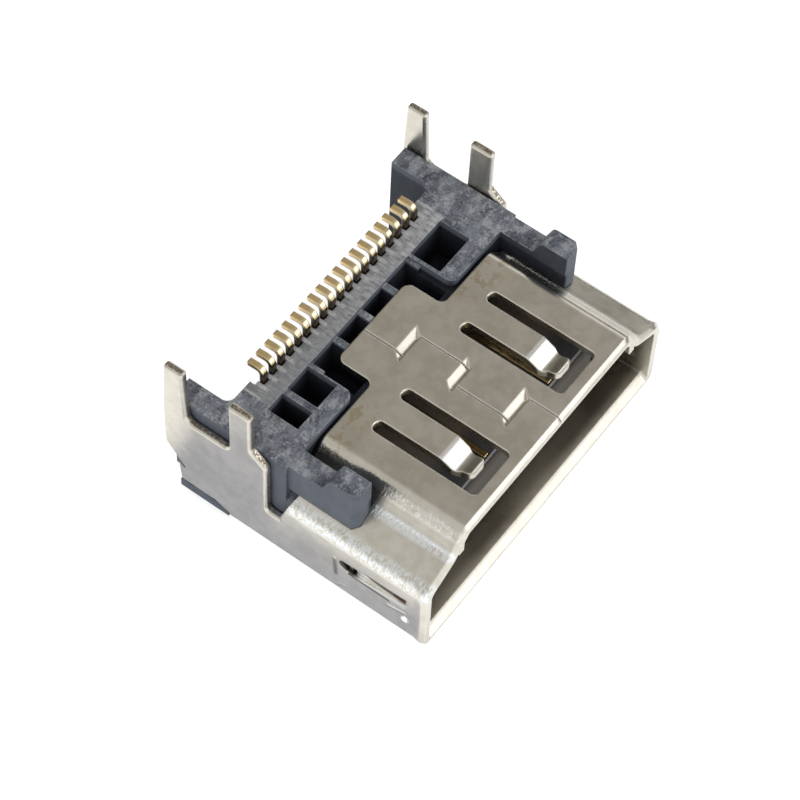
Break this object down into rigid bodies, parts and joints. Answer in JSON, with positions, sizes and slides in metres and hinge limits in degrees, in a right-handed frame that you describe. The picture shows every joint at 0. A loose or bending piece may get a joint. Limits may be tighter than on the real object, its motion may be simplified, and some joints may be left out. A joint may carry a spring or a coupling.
{
  "type": "hdmi socket",
  "caption": "Right-angle board-mount video socket: folded metal shell with a stepped mouth, solder legs, moulded insulator and a row of gilt contact feet.",
  "frame": {"origin": "centre of the base: the middle of the bounding box on the wide outer face of the shell, on which it lies in the picture", "axes": "+Z from the wide face to the circuit board side, +Y from the mouth to the rear, +X across the mouth, to the right as seen looking into the mouth"},
  "size_m": [0.0148, 0.0118, 0.0077],
  "materials": {
    "shell": "satin tin-nickel plating on thin sheet",
    "insulator": "moulded, slightly rough, dark blue-grey",
    "contact": "gold flash over copper alloy"
  },
  "bodies": {
    "root": {"shell": "shell", "insulator": "insulator", "contact_01": "contact", "contact_02": "contact", "contact_03": "contact", "contact_04": "contact", "contact_05": "contact", "contact_06": "contact", "contact_07": "contact", "contact_08": "contact", "contact_09": "contact", "contact_10": "contact", "contact_11": "contact", "contact_12": "contact", "contact_13": "contact", "contact_14": "contact", "contact_15": "contact", "contact_16": "contact", "contact_17": "contact", "contact_18": "contact", "contact_19": "contact"}
  },
  "joints": []
}
